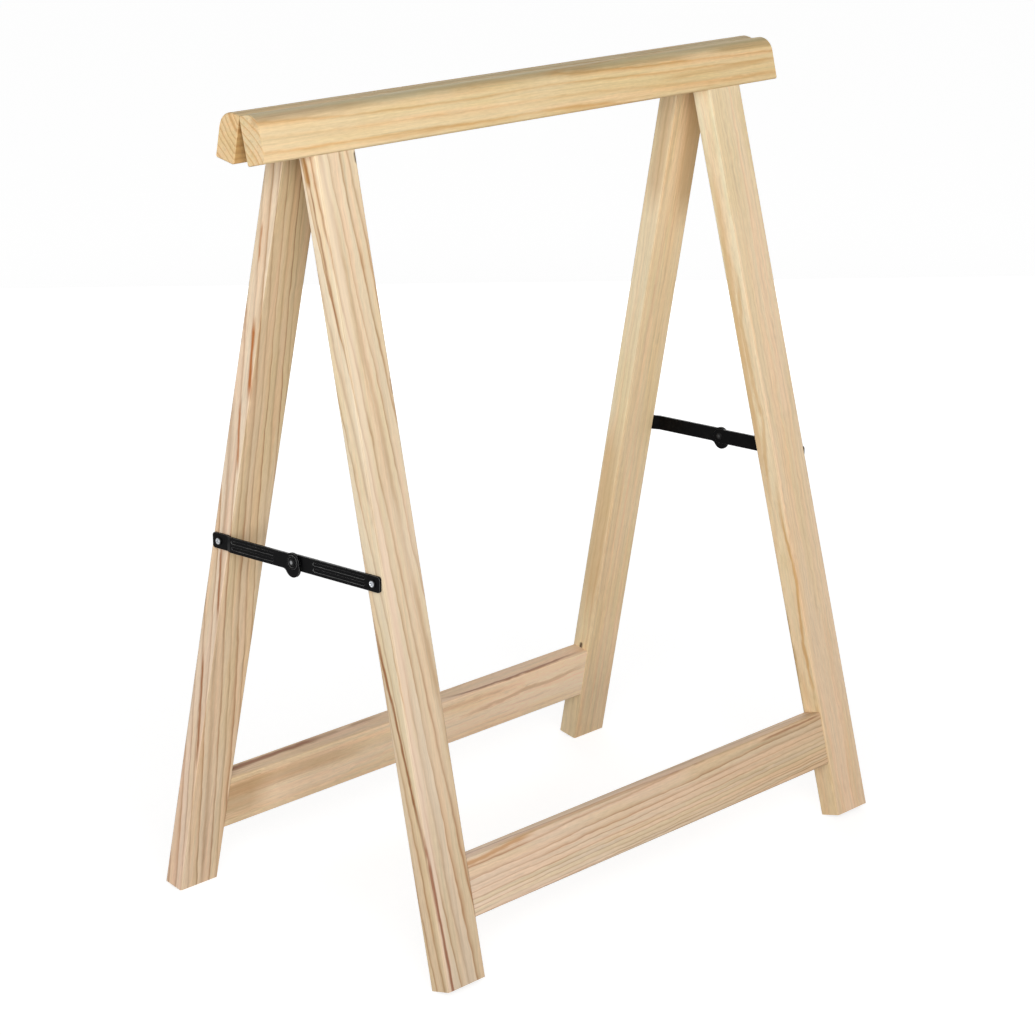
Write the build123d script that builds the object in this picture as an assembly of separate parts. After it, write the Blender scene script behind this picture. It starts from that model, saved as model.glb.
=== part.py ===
from build123d import *
import os
from math import cos, radians, sin, tan

# Folding work trestle: two leaning panels hinged between their top rails, held open by two folding stays.
# Millimetres. X runs along the rails, the front panel stands towards -Y, and the floor is Z = 0.
# "Left" is the -X end. The trestle is drawn open.

# Overall sizes
trestle_height = 750.0
rail_length = 675.0
lean = 12.5
splay = 1.45

# Top rails
rail_thickness = 22.7
rail_height = 42.8
rail_outer_round = 15.5
rail_inner_round = 3.0
rail_lower_round = 2.0
rail_end_chamfer = 0.7
rail_top_above_hinge = 11.0
rail_gap_open = 0.3

# Legs
leg_width = 46.0
leg_thickness = 22.0
leg_edge_round = 2.0
leg_inset = 57.0

# Stretchers
stretcher_height = 53.0
stretcher_thickness = 20.0
stretcher_edge_round = 2.0
stretcher_above_foot = 53.0

# Glued dowels
dowel_radius = 4.0
dowel_depth = 24.0
dowel_clearance = 0.05
dowel_end_space = 1.0
leg_dowel_spacing = 22.0
stretcher_dowel_spacing = 28.0

# Butt hinges between the rails
hinge_from_leg = 29.5
hinge_length = 50.0
knuckle_count = 3
knuckle_gap = 0.2
barrel_radius = 3.2
barrel_clearance = 0.4
leaf_width = 24.0
leaf_thickness = 1.5
leaf_corner = 3.0
pin_radius = 1.6
pin_clearance = 0.05
pin_overhang = 0.8
pin_chamfer = 0.5
groove_end_space = 1.5

# Hinge screws, countersunk into the leaves
hinge_screw_count = 2
hinge_screw_spacing = 30.0
hinge_screw_drop = 14.0
hinge_screw_length = 16.0
hinge_screw_radius = 1.7
hinge_screw_head_radius = 3.1
wood_screw_clearance = 0.03
screw_end_space = 1.0

# Folding stays, one on the outer side of the legs at each end
stay_above_foot = 360.0
link_width = 14.4
link_thickness = 2.2
link_end = 8.5
link_corner = 3.0
link_stand_off = 0.4
layer_gap = 0.15
joggle_start = 11.0
joggle_length = 6.0
joggle_bend = 3.0
eye_radius = 8.6
thumb_lobe_radius = 9.0
thumb_lobe_drop = 4.8
eye_blend = 5.0
groove_width = 3.0
groove_depth = 0.7
groove_offset = 2.8
groove_pivot_space = 10.0
groove_joggle_space = 2.0
groove_knuckle_space = 24.0

# Knuckle rivet
rivet_radius = 2.0
rivet_clearance = 0.05
rivet_head_radius = 3.3
rivet_head_height = 1.2
rivet_tail_radius = 3.3
rivet_tail_height = 1.1
ring_outer_radius = 6.4
ring_inner_radius = 4.7
ring_height = 0.5

# Round-headed stay screws in the legs
stay_screw_radius = 2.4
stay_screw_depth = 28.0
stay_screw_head_radius = 3.5
stay_screw_head_height = 2.2
stay_screw_clearance = 0.05

# Places that follow from the sizes above
lean_sin = sin(radians(lean))
lean_cos = cos(radians(lean))

# The inner faces stand off the hinge plane so far that the rounded inner top edges just clear when open
inner_round_rise = (rail_top_above_hinge - rail_inner_round) * lean_sin
half_gap = (rail_gap_open / 2 + rail_inner_round + inner_round_rise) / lean_cos - rail_inner_round

# The crest of the leaning outer round is the trestle's highest line
crest_out = half_gap + rail_thickness - rail_outer_round
crest_up = rail_top_above_hinge - rail_outer_round
hinge_height = trestle_height - (crest_out * lean_sin + crest_up * lean_cos + rail_outer_round)

# Drops are measured down the panel from the hinge axis; the inner edge of a square foot meets the floor
rail_under = rail_height - rail_top_above_hinge
foot_drop = (hinge_height + half_gap * lean_sin) / lean_cos
stretcher_under = foot_drop - stretcher_above_foot
stretcher_top = stretcher_under - stretcher_height
panel_middle = half_gap + leg_thickness / 2
hinge_offset = rail_length / 2 - leg_inset - leg_width - hinge_from_leg - hinge_length / 2

# Stay pivots lie in the middle of the leg's thickness; the two links are straight when open
stay_drop = foot_drop - stay_above_foot
pivot_reach = panel_middle * lean_cos + stay_drop * lean_sin
pivot_height = hinge_height + panel_middle * lean_sin - stay_drop * lean_cos
link_length = pivot_reach

# Heights of the stay's layers above the leg's outer side
inner_link_top = link_stand_off + link_thickness
outer_link_base = inner_link_top + layer_gap
outer_link_top = outer_link_base + link_thickness

ends = {"left": -1, "right": 1}
back_knuckles = range(0, knuckle_count, 2)
front_knuckles = range(1, knuckle_count, 2)


def leg_outer(drop):
    """Distance along X of a leg's outer side, at a drop below the hinge axis."""
    return rail_length / 2 - leg_inset + (drop - rail_under) * tan(radians(splay))


def leg_inner(drop):
    """Distance along X of a leg's inner side."""
    return leg_outer(drop) - leg_width


def lean_back(shape):
    """Tilt what is drawn on an upright panel, hinge axis on X, to its place at the back."""
    return Pos(0, 0, hinge_height) * Rot(lean, 0, 0) * shape


def lean_front(shape):
    """The front panel is the mirror image of the back one."""
    return mirror(lean_back(shape), about=Plane.XZ)


def along_x(shape):
    """Lay a shape that stands on Z down along X."""
    return Rot(0, 90, 0) * shape


def soften_long_edges(board, radius):
    """Round the four long edges of a board, leaving its sawn ends sharp."""
    longest = max(edge.length for edge in board.edges())
    return fillet(board.edges().filter_by(lambda edge: edge.length > longest / 2), radius)


# Screws, dowels and their places on an upright panel

def rod(radius, low, high):
    """Round rod on Z between two heights."""
    return Pos(0, 0, low) * Cylinder(radius, high - low, align=(Align.CENTER, Align.CENTER, Align.MIN))


def countersunk_screw(clearance=0.0, end_space=0.0):
    """Flat head and shank turned about Z, with the head's face at Z = 0 and the shank below."""
    head = hinge_screw_head_radius + clearance
    shank = hinge_screw_radius + clearance
    sink = head - shank
    cone = Pos(0, 0, -sink) * Cone(shank, head, sink, align=(Align.CENTER, Align.CENTER, Align.MIN))
    return cone + rod(shank, -hinge_screw_length - end_space, -sink)


def countersunk_hole():
    """Room for a hinge screw in a leaf and in the rail behind it."""
    return countersunk_screw(wood_screw_clearance, screw_end_space)


def dowel():
    """Round dowel, standing on Z about its middle."""
    return Cylinder(dowel_radius, 2 * dowel_depth)


def dowel_bore():
    """Hole for a dowel, a little wider and longer than the dowel."""
    return Cylinder(dowel_radius + dowel_clearance, 2 * (dowel_depth + dowel_end_space))


def at_leg_dowels(shape):
    """Copies of an upright shape at the dowels between the rail's underside and both legs."""
    middle = leg_outer(rail_under) - leg_width / 2
    half = leg_dowel_spacing / 2
    places = [side * middle + step for side in ends.values() for step in (-half, half)]
    return [Pos(x, panel_middle, -rail_under) * shape for x in places]


def at_stretcher_dowels(shape):
    """Copies of an upright shape, laid along X, at the dowels between the stretcher and both legs."""
    middle = (stretcher_top + stretcher_under) / 2
    half = stretcher_dowel_spacing / 2
    copies = []
    for side in ends.values():
        for drop in (middle - half, middle + half):
            copies.append(Pos(side * leg_inner(drop), panel_middle, -drop) * along_x(shape))
    return copies


def at_hinge_screws(shape):
    """Copies of a screw shape with the head in a leaf's inner face and the point in the rail."""
    first = -(hinge_screw_count - 1) / 2 * hinge_screw_spacing
    head_face = half_gap - leaf_thickness
    copies = []
    for side in ends.values():
        for index in range(hinge_screw_count):
            along = side * hinge_offset + first + index * hinge_screw_spacing
            copies.append(Pos(along, head_face, -hinge_screw_drop) * Rot(90, 0, 0) * shape)
    return copies


# Wooden pieces, drawn on an upright panel

def top_rail():
    """Rail with a large round on its outer top edge, bored for dowels and grooved for the hinge barrels."""
    section = Rectangle(rail_thickness, rail_height, align=(Align.MIN, Align.MAX))
    section = fillet(section.vertices().group_by(Axis.Y)[-1].sort_by(Axis.X)[-1], rail_outer_round)
    section = fillet(section.vertices().group_by(Axis.Y)[-1].sort_by(Axis.X)[0], rail_inner_round)
    section = fillet(section.vertices().group_by(Axis.Y)[0], rail_lower_round)
    rail = extrude(Plane.YZ * Pos(half_gap, rail_top_above_hinge) * section, rail_length / 2, both=True)
    end_faces = rail.faces().sort_by(Axis.X)
    rail = chamfer(end_faces[0].edges() + end_faces[-1].edges(), rail_end_chamfer)
    groove = Cylinder(barrel_radius + barrel_clearance, hinge_length + 2 * groove_end_space)
    for side in ends.values():
        rail -= Pos(side * hinge_offset, 0, 0) * along_x(groove)
    for hole in at_leg_dowels(dowel_bore()) + at_hinge_screws(countersunk_hole()):
        rail -= hole
    return rail


def leg():
    """Left leg of a panel, splayed along the rail, with its ends parallel to the rail."""
    outline = Polygon(
        (-leg_inner(rail_under), -rail_under),
        (-leg_outer(rail_under), -rail_under),
        (-leg_outer(foot_drop), -foot_drop),
        (-leg_inner(foot_drop), -foot_drop),
        align=None,
    )
    board = Pos(0, half_gap, 0) * extrude(Plane.XZ * outline, leg_thickness, dir=(0, 1, 0))
    board = soften_long_edges(board, leg_edge_round)
    for hole in at_leg_dowels(dowel_bore()) + at_stretcher_dowels(dowel_bore()):
        board -= hole
    return board


def stretcher():
    """Rail between the legs, a little thinner than they are, with ends cut to their splay."""
    outline = Polygon(
        (-leg_inner(stretcher_top), -stretcher_top),
        (leg_inner(stretcher_top), -stretcher_top),
        (leg_inner(stretcher_under), -stretcher_under),
        (-leg_inner(stretcher_under), -stretcher_under),
        align=None,
    )
    inner_face = panel_middle - stretcher_thickness / 2
    board = Pos(0, inner_face, 0) * extrude(Plane.XZ * outline, stretcher_thickness, dir=(0, 1, 0))
    board = soften_long_edges(board, stretcher_edge_round)
    for hole in at_stretcher_dowels(dowel_bore()):
        board -= hole
    return board


# Butt hinges

def hinge_leaf(own_knuckles):
    """Leaf on a rail's inner face, with its share of the rolled barrel, drawn about X = 0."""
    outline = Rectangle(hinge_length, leaf_width, align=(Align.CENTER, Align.MAX))
    outline = fillet(outline.vertices().group_by(Axis.Y)[0], leaf_corner)
    plate = extrude(Plane.XZ * outline, leaf_thickness, dir=(0, 1, 0))
    leaf = Pos(0, half_gap - leaf_thickness, 0) * plate + along_x(Cylinder(barrel_radius, hinge_length))
    pitch = hinge_length / knuckle_count
    space = along_x(Cylinder(barrel_radius + barrel_clearance, pitch + knuckle_gap))
    for index in range(knuckle_count):
        if index not in own_knuckles:
            leaf -= Pos((index + 0.5) * pitch - hinge_length / 2, 0, 0) * space
    return leaf - along_x(Cylinder(pin_radius + pin_clearance, 2 * hinge_length))


def placed_leaf(own_knuckles, centre):
    """A leaf at its place along the rail, countersunk for its screws."""
    leaf = Pos(centre, 0, 0) * hinge_leaf(own_knuckles)
    for hole in at_hinge_screws(countersunk_hole()):
        leaf -= hole
    return leaf


def hinge_pin(centre):
    """Pin through all the knuckles, with its chamfered tips just outside them."""
    pin = Cylinder(pin_radius, hinge_length + 2 * pin_overhang)
    pin = chamfer(pin.edges().filter_by(GeomType.CIRCLE), pin_chamfer)
    return Pos(centre, 0, hinge_height) * along_x(pin)


# Folding stays, drawn with the leg pivot at the origin, the knuckle along +X, and the leg's side at Z = 0

def button_head(radius, height):
    """Low head with a sloping rim, standing on Z = 0."""
    return Cone(radius, radius - height / 2, height, align=(Align.CENTER, Align.CENTER, Align.MIN))


def link_band():
    """Flat outline common to both links: a band with rounded corners at its leg end."""
    band = Rectangle(link_end + link_length, link_width, align=(Align.MIN, Align.CENTER))
    band = fillet(band.vertices().group_by(Axis.X)[0], link_corner)
    return Pos(-link_end, 0) * band


def link_holes():
    """Pivot hole at the leg and rivet hole at the knuckle."""
    pivot = Circle(stay_screw_radius + stay_screw_clearance)
    return pivot + Pos(link_length, 0) * Circle(rivet_radius + rivet_clearance)


def stiffening_grooves(face_height, start):
    """Two round-ended grooves side by side in the upper face of a link, leaving a rib between them."""
    length = link_length - groove_knuckle_space - start
    slot = extrude(SlotOverall(length, groove_width), 2 * groove_depth)
    middle = start + length / 2
    return [Pos(middle, side * groove_offset, face_height - groove_depth) * slot for side in (-1, 1)]


def inner_link():
    """Flat link next to the leg, with a plain round end at the knuckle."""
    outline = link_band() + Pos(link_length, 0) * Circle(link_width / 2) - link_holes()
    plate = Pos(0, 0, link_stand_off) * extrude(outline, link_thickness)
    for groove in stiffening_grooves(inner_link_top, groove_pivot_space):
        plate -= groove
    return plate


def eye_outline():
    """Band that ends in a round eye with a thumb lobe below it, blended into the band's edges."""
    eye = Pos(link_length, 0) * Circle(eye_radius)
    lobe = Pos(link_length, -thumb_lobe_drop) * Circle(thumb_lobe_radius)
    outline = link_band() + eye + lobe
    necks = outline.vertices().filter_by(lambda point: link_length / 2 < point.X < link_length - 1)
    return fillet(necks, eye_blend) - link_holes()


def outer_link():
    """Link that steps away from the leg to pass over the inner link, with an eye and a raised ring."""
    low = link_stand_off + link_thickness / 2
    high = outer_link_base + link_thickness / 2
    eye_reach = thumb_lobe_drop + thumb_lobe_radius
    side_path = FilletPolyline(
        (-link_end, low),
        (joggle_start, low),
        (joggle_start + joggle_length, high),
        (link_length + eye_reach, high),
        radius=joggle_bend,
    )
    strip = extrude(Plane.XZ * trace(side_path, link_thickness), link_width / 2 + eye_reach, both=True)
    plate = strip & extrude(eye_outline(), 2 * outer_link_top)
    ring = Circle(ring_outer_radius) - Circle(ring_inner_radius)
    plate += Pos(link_length, 0, outer_link_top) * extrude(ring, ring_height)
    groove_start = joggle_start + joggle_length + groove_joggle_space
    for groove in stiffening_grooves(outer_link_top, groove_start):
        plate -= groove
    return plate


def rivet_head():
    """Outer half of the knuckle rivet, held in the outer link."""
    head = Pos(0, 0, outer_link_top) * button_head(rivet_head_radius, rivet_head_height)
    return Pos(link_length, 0, 0) * (head + rod(rivet_radius, outer_link_base, outer_link_top))


def rivet_tail():
    """Inner half of the knuckle rivet, held in the inner link."""
    head = Pos(0, 0, link_stand_off) * Rot(180, 0, 0) * button_head(rivet_tail_radius, rivet_tail_height)
    return Pos(link_length, 0, 0) * (head + rod(rivet_radius, link_stand_off, inner_link_top))


def stay_screw():
    """Round-headed screw that a link turns on."""
    under_head = inner_link_top + layer_gap
    head = Pos(0, 0, under_head) * button_head(stay_screw_head_radius, stay_screw_head_height)
    return rod(stay_screw_radius, -stay_screw_depth, under_head) + head


def stay_screw_hole():
    """Room for a stay screw in a leg."""
    depth = stay_screw_depth + screw_end_space
    return rod(stay_screw_radius + wood_screw_clearance, -depth, link_stand_off)


def on_back_left_leg(shape):
    """Set a stay piece on the outer side of the back left leg, with the knuckle towards the front."""
    pivot = (-leg_outer(stay_drop), pivot_reach, pivot_height)
    return Plane(origin=pivot, x_dir=(0, -1, 0), z_dir=(-1, 0, 0)) * shape


def at_corner(shape, panel, end):
    """A piece of the back left corner, or its mirror image at another corner."""
    if end == "right":
        shape = mirror(shape, about=Plane.YZ)
    if panel == "front":
        shape = mirror(shape, about=Plane.XZ)
    return shape


def group(pieces, stand):
    """Like pieces of one panel, stood up on it and kept as separate solids."""
    return Compound([stand(piece).solid() for piece in pieces])


# Every node, by name

nodes = {}
rail = top_rail()
low_rail = stretcher()
corner_leg = lean_back(leg()) - on_back_left_leg(stay_screw_hole())
corner_screw = on_back_left_leg(stay_screw())

for panel, stand in (("back", lean_back), ("front", lean_front)):
    nodes[f"{panel}_top_rail"] = stand(rail)
    nodes[f"{panel}_stretcher"] = stand(low_rail)
    nodes[f"{panel}_leg_dowels"] = group(at_leg_dowels(dowel()), stand)
    nodes[f"{panel}_stretcher_dowels"] = group(at_stretcher_dowels(dowel()), stand)
    nodes[f"{panel}_hinge_screws"] = group(at_hinge_screws(countersunk_screw()), stand)
    for end in ends:
        nodes[f"{panel}_{end}_leg"] = at_corner(corner_leg, panel, end)
        nodes[f"{end}_stay_{panel}_screw"] = at_corner(corner_screw, panel, end)

for end, side in ends.items():
    centre = side * hinge_offset
    nodes[f"{end}_hinge_back_leaf"] = lean_back(placed_leaf(back_knuckles, centre))
    nodes[f"{end}_hinge_front_leaf"] = lean_front(placed_leaf(front_knuckles, centre))
    nodes[f"{end}_hinge_pin"] = hinge_pin(centre)
    nodes[f"{end}_stay_back_link"] = at_corner(on_back_left_leg(outer_link()), "back", end)
    nodes[f"{end}_stay_rivet_head"] = at_corner(on_back_left_leg(rivet_head()), "back", end)
    nodes[f"{end}_stay_front_link"] = at_corner(on_back_left_leg(inner_link()), "front", end)
    nodes[f"{end}_stay_rivet_tail"] = at_corner(on_back_left_leg(rivet_tail()), "front", end)

os.makedirs("parts", exist_ok=True)
for name, shape in nodes.items():
    export_step(shape, f"parts/{name}.step")
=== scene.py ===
# %% [markdown]
# # A folding work trestle in bare pine
# Two leaning panels of planed pine are hinged between their top rails, and a black folding stay at each end
# keeps them apart. The CAD frame brings every board, hinge, link and screw at its real size. This lesson
# gives each piece its finish, makes real links, screws and rivets of the plain ones, and sets up the floor,
# light and camera of a catalogue picture.

# %% Load the frame
import math

import bmesh
import bpy
import numpy as np
from mathutils import Matrix, Vector


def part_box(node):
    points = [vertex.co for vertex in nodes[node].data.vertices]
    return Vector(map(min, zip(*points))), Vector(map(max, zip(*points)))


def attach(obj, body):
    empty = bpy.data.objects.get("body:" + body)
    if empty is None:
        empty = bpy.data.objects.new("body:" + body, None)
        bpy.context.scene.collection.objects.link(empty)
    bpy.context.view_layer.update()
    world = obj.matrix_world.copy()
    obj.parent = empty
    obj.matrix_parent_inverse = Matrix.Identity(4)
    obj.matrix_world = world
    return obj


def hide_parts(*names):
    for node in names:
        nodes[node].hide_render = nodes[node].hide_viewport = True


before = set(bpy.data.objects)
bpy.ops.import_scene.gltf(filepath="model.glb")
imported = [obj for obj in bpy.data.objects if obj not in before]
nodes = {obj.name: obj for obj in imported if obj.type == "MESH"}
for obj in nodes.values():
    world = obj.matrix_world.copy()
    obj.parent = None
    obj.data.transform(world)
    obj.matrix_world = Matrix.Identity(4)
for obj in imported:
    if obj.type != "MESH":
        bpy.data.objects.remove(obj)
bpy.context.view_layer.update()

# %% [markdown]
# ## Camera
# The picture was taken from the front left corner, a little above the rails, with a long lens. The camera
# could be placed by eye, but matching the corners of feet, rails and stretchers gives its place, aim, lens
# and small roll. It comes first, because every later choice was made looking through it.

# %% Camera
camera_place = Vector((-1.972, -1.850, 1.103))
camera_aim = Vector((-0.0036, 0.0038, 0.3310))
camera_roll = math.radians(-0.64)
lens_length = 103.85


def linked(name, data):
    """A new object in the scene, at the origin."""
    thing = bpy.data.objects.new(name, data)
    bpy.context.collection.objects.link(thing)
    return thing


camera_data = bpy.data.cameras.new("catalogue_camera")
camera_data.lens = lens_length
camera = linked("catalogue_camera", camera_data)
aim_turn = (camera_aim - camera_place).to_track_quat("-Z", "Y").to_matrix()
camera.location = camera_place
camera.rotation_euler = (aim_turn @ Matrix.Rotation(camera_roll, 3, "Z")).to_euler()
bpy.context.scene.camera = camera
bpy.context.scene.view_settings.view_transform = "Standard"
print("camera is", round((camera_aim - camera_place).length, 3), "m from its aim")

# %% [markdown]
# ## Short calls for node materials
# Every finish here is a node tree. Writing each node out takes six lines and hides the idea, so one small
# class adds a node, feeds its inputs in their order and hands back an output, and the finishes below read
# like formulas. A Mix node has its own sockets for numbers, vectors and colours, which are listed first.
# Colours get short calls too.

# %% A material with short calls
mix_sockets = {"FLOAT": (2, 3, 0), "VECTOR": (4, 5, 1), "RGBA": (6, 7, 2)}


class Finish:
    """A new material or world. Each call adds a node, feeds its inputs in order and returns an output."""

    def __init__(self, name, library=bpy.data.materials, shader="Principled BSDF"):
        self.material = library.new(name)
        self.material.use_nodes = True
        self.tree = self.material.node_tree
        self.shader = self.tree.nodes[shader]

    def feed(self, socket, value):
        """Link an output to a socket, or set the socket to a plain value."""
        if isinstance(value, bpy.types.NodeSocket):
            self.tree.links.new(value, socket)
        elif value is not None:
            socket.default_value = value

    def shade(self, socket_name, value):
        """Feed one input of the shader."""
        self.feed(self.shader.inputs[socket_name], value)

    def node(self, kind, *values, **settings):
        """A node of a kind, with its settings made and its first inputs fed."""
        node = self.tree.nodes.new("ShaderNode" + kind)
        for setting, choice in settings.items():
            setattr(node, setting, choice)
        for socket, value in zip(node.inputs, values):
            self.feed(socket, value)
        return node

    def math(self, operation, *values):
        """One sum on numbers."""
        return self.node("Math", *values, operation=operation).outputs[0]

    def times(self, value, factor, more=0.0):
        """A value times a factor, plus more."""
        return self.math("MULTIPLY_ADD", value, factor, more)

    def vector(self, operation, *values):
        """One sum on vectors."""
        return self.node("VectorMath", *values, operation=operation).outputs["Vector"]

    def measure(self, operation, *values):
        """One number from vectors, such as a length, a distance or a dot product."""
        return self.node("VectorMath", *values, operation=operation).outputs["Value"]

    def noise(self, place, across, along, detail=2.0, roughness=0.5):
        """Smooth noise of about 0 to 1, with so many bumps to a metre across and along the Z axis."""
        stretched = self.vector("MULTIPLY", place, (across, across, along))
        return self.node("TexNoise", stretched, None, 1.0, detail, roughness).outputs[0]

    def share(self, value, low, high):
        """How far a value has come from low to high, held at 0 and 1 beyond them."""
        return self.node("MapRange", value, low, high).outputs[0]

    def spread(self, value, low, high, to_low=0.0, to_high=1.0):
        """A value's run from low to high, eased into another run."""
        eased = {"interpolation_type": "SMOOTHSTEP"}
        return self.node("MapRange", value, low, high, to_low, to_high, **eased).outputs[0]

    def mix(self, share, first, second, kind="RGBA", blend_type="MIX"):
        """Two colours blended by a share, or two numbers or vectors if the kind says so."""
        node = self.node("Mix", share, data_type=kind, blend_type=blend_type)
        first_socket, second_socket, result = mix_sockets[kind]
        self.feed(node.inputs[first_socket], first)
        self.feed(node.inputs[second_socket], second)
        return node.outputs[result]

    def stain(self, share, colour, tint):
        """A colour multiplied by a tint, as far as a share says."""
        return self.mix(share, colour, tint, blend_type="MULTIPLY")

    def curve(self, value, stops):
        """A number read off straight runs between stops of (place, height)."""
        ramp = self.node("ValToRGB", value)
        marks = ramp.color_ramp.elements
        for place, _ in stops[1:-1]:
            marks.new(place)
        for mark, (place, height) in zip(marks, stops):
            mark.position = place
            mark.color = (height, height, height, 1.0)
        return ramp.outputs[0]

    def emboss(self, height, strength, depth):
        """A bump that lifts the surface by a depth where the height is 1."""
        bump = self.node("Bump", strength, depth)
        self.feed(bump.inputs["Height"], height)
        self.shade("Normal", bump.outputs[0])

    def dress(self, *names):
        """Put the finish on CAD nodes."""
        for name in names:
            nodes[name].material_slots[0].material = self.material


print("a Mix node blends", len(mix_sockets), "kinds of values")


# %% Colours
def tint(red, green, blue):
    """A colour that multiplies another, where 1 leaves it as it is."""
    return (red, green, blue, 1.0)


def seen(red, green, blue):
    """A colour as it looks on a screen, 0 to 255, turned by the screen's curve into what shaders take."""
    screen = np.array([red, green, blue]) / 255.0
    linear = np.where(screen <= 0.04045, screen / 12.92, ((screen + 0.055) / 1.055) ** 2.4)
    return tint(*linear.tolist())


white = tint(1.0, 1.0, 1.0)
print("a warm white is", [round(part, 3) for part in seen(240, 225, 200)])

# %% [markdown]
# ## Floor and light
# A catalogue picture stands on white paper under large soft lamps. The paper could be lit until it burns
# out, but the same lamps would bleach the pine. So the lamps stay at a plain level, and the paper glows a
# little by itself for camera, glossy and transmission rays only. It turns white and still takes the
# trestle's shadow.

# %% Floor
floor_half = 14.0
paper_tone = 0.42
glow_distances = (0.5, 3.5)
glow_levels = (0.77, 0.86)

floor_corners = floor_half * np.array([[-1, -1, 0], [1, -1, 0], [1, 1, 0], [-1, 1, 0]])
floor_mesh = bpy.data.meshes.new("paper_floor")
floor_mesh.from_pydata(floor_corners.tolist(), [], [(0, 1, 2, 3)])
floor = linked("paper_floor", floor_mesh)


def seen_ray(finish):
    """1 for rays that a viewer sees, straight on, in a gloss or through glass, and 0 for all others."""
    path = finish.node("LightPath").outputs
    total = path["Is Camera Ray"]
    for name in ("Is Glossy Ray", "Is Transmission Ray"):
        total = finish.math("MAXIMUM", total, path[name])
    return total


paper = Finish("white_paper")
paper.shade("Base Color", tint(paper_tone, paper_tone, paper_tone))
paper.shade("Roughness", 1.0)
paper.shade("Specular IOR Level", 0.0)
paper.shade("Emission Color", white)
from_middle = paper.measure("LENGTH", paper.node("TexCoord").outputs["Object"])
glow = paper.spread(from_middle, *glow_distances, *glow_levels)
paper.shade("Emission Strength", paper.times(seen_ray(paper), glow))
floor_mesh.materials.append(paper.material)
print("floor reaches", floor_half, "m each way")

# %% Light from all round
wall_level = 0.68
ceiling_level = 0.10
backdrop_level = 1.0

room = Finish("studio_room", bpy.data.worlds, "Background")
bpy.context.scene.world = room.material
height = room.node("SeparateXYZ", room.node("TexCoord").outputs["Generated"]).outputs["Z"]
shade = room.node("MapRange", height, 0.0, 1.0, wall_level, ceiling_level).outputs[0]
room.shade("Color", white)
room.shade("Strength", room.node("MapRange", seen_ray(room), 0.0, 1.0, shade, backdrop_level).outputs[0])
print("walls", wall_level, "ceiling", ceiling_level)

# %% Two soft lamps
lamp_aim = Vector((0.0, 0.0, 0.6))


def soft_lamp(name, place, side, level_at_aim):
    """Square lamp whose power gives a level at its aim, where level 1 shows a colour as it is written.

    Power is the level times pi squared times the squared distance."""
    lamp_data = bpy.data.lights.new(name, "AREA")
    lamp_data.size = side
    reach = lamp_aim - Vector(place)
    lamp_data.energy = level_at_aim * math.pi ** 2 * reach.length ** 2
    lamp = linked(name, lamp_data)
    lamp.location = place
    lamp.rotation_euler = reach.to_track_quat("-Z", "Y").to_euler()
    return lamp


front_lamp = soft_lamp("front_lamp", (-1.9, -1.9, 1.15), side=2.2, level_at_aim=0.94)
back_lamp = soft_lamp("back_lamp", (1.9, 1.8, 0.95), side=2.0, level_at_aim=0.38)
print("lamps:", round(front_lamp.data.energy, 1), "and", round(back_lamp.data.energy, 1), "watts")

# %% [markdown]
# ## How each board lies in its log
# Growth rings run through the whole board, so stripes on the faces and arcs on the ends belong together.
# For that the pattern needs the board's own axes. They could be typed in, but a board tells them itself:
# summing its triangles' normals, weighted by area, most of the area faces along the thickness, less along
# the width, and least along the grain.

# %% Axes of a board
tiny_area = 1e-12


def corner_points(name):
    """Corners of a node's triangles, as an array of triangles by corners by coordinates."""
    mesh = nodes[name].data
    points = np.empty(3 * len(mesh.vertices))
    mesh.vertices.foreach_get("co", points)
    mesh.calc_loop_triangles()
    corners = np.empty(3 * len(mesh.loop_triangles), dtype=np.int64)
    mesh.loop_triangles.foreach_get("vertices", corners)
    return points.reshape(-1, 3)[corners].reshape(-1, 3, 3)


def board_axes(name):
    """A board's centre, and its width, thickness and grain axes as the columns of a matrix.

    The axes are the eigenvectors of the sum of each triangle's normal times itself, times its area. The grain
    points up or right, and the thickness points away from the middle of the trestle."""
    triangles = corner_points(name)
    double_area = np.cross(triangles[:, 1] - triangles[:, 0], triangles[:, 2] - triangles[:, 0])
    sizes = np.linalg.norm(double_area, axis=1)
    normals = double_area / np.maximum(sizes, tiny_area)[:, None]
    facing = normals.T @ double_area
    _, vectors = np.linalg.eigh((facing + facing.T) / 2)
    centre = (triangles.min(axis=(0, 1)) + triangles.max(axis=(0, 1))) / 2
    grain = vectors[:, 0] * np.sign(vectors[np.abs(vectors[:, 0]).argmax(), 0])
    thickness = vectors[:, 2] * np.sign(vectors[1, 2] * centre[1])
    return centre, np.stack([np.cross(thickness, grain), thickness, grain], axis=1)


for name in ("front_left_leg", "front_top_rail", "back_stretcher"):
    print(name, "grain runs along", board_axes(name)[1][:, 2].round(3))

# %% [markdown]
# ## Places and directions in a board
# Every later step asks the same of a point: where it is in the board and in the log, how far along, and
# which way its face looks. One Mapping node stands the board upright on its centre, a second one turns it
# in its log, and dot products of the normal with the axes tell the faces apart.

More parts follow.
